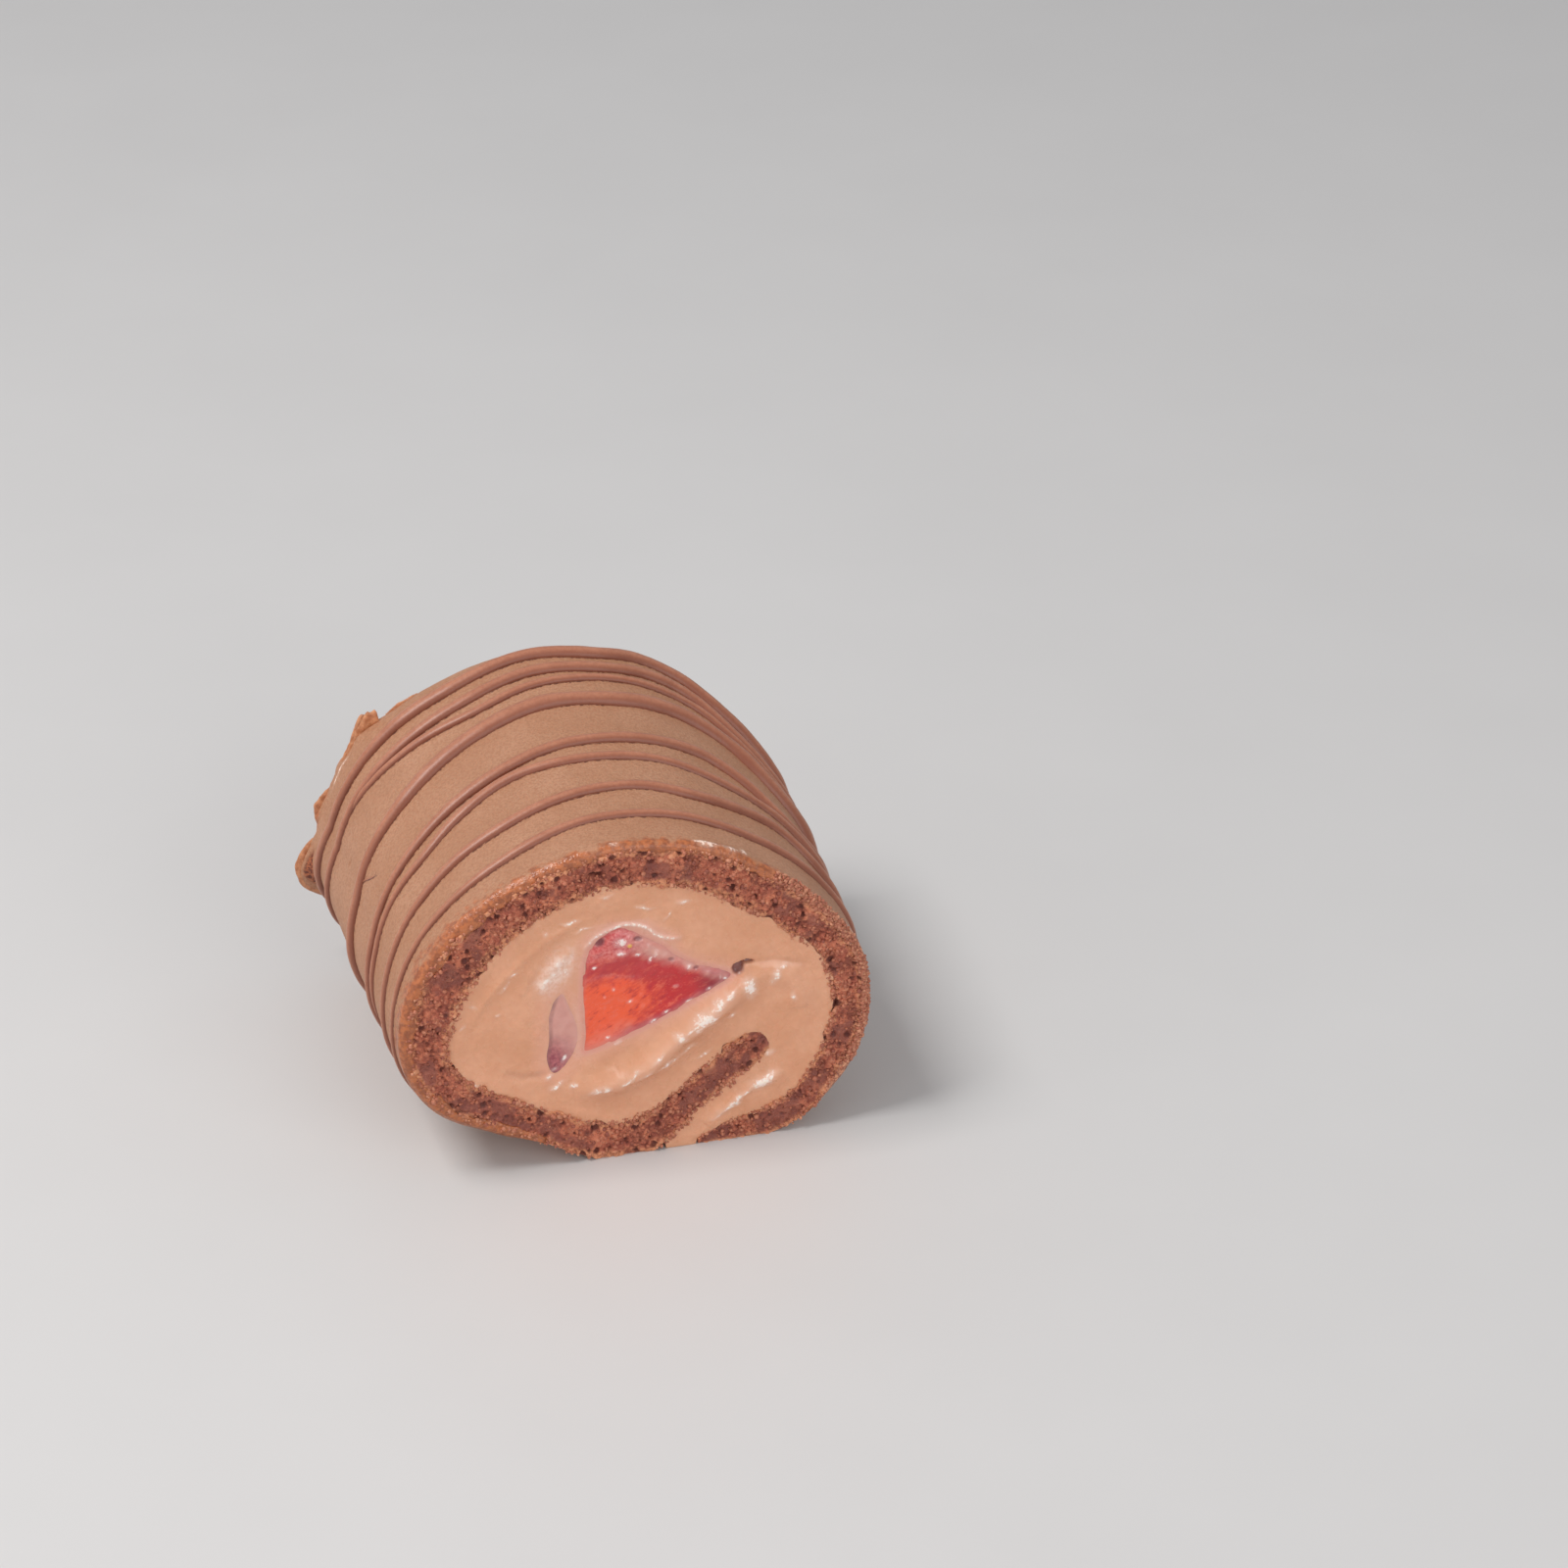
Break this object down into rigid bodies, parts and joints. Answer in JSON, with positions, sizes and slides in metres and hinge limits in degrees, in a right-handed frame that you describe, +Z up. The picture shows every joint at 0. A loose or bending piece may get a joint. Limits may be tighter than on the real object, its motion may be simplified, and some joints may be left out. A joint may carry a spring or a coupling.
{
  "type": "swiss roll cake",
  "caption": "Short chocolate swiss roll cut at both ends, with a cream and strawberry filling and a thin coat under drizzled lines.",
  "frame": {"origin": "middle of the bounding box, on the plane that the roll rests on", "axes": "+Z up, +Y along the roll from its best cut end to its back end, +X to the right seen from that cut end"},
  "size_m": [0.0692, 0.0576, 0.0495],
  "materials": {
    "sponge": "open reddish brown chocolate crumb",
    "cream": "smooth moist tan cream",
    "strawberry": "wet cut fruit, red at the core and paler at the edge",
    "strawberry_sliver": "wet cut fruit under a film of cream",
    "coat": "matte tan coat with satin milk chocolate lines"
  },
  "bodies": {
    "root": {"sponge": "sponge", "cream": "cream", "strawberry": "strawberry", "strawberry_sliver": "strawberry_sliver", "coat": "coat"}
  },
  "joints": []
}
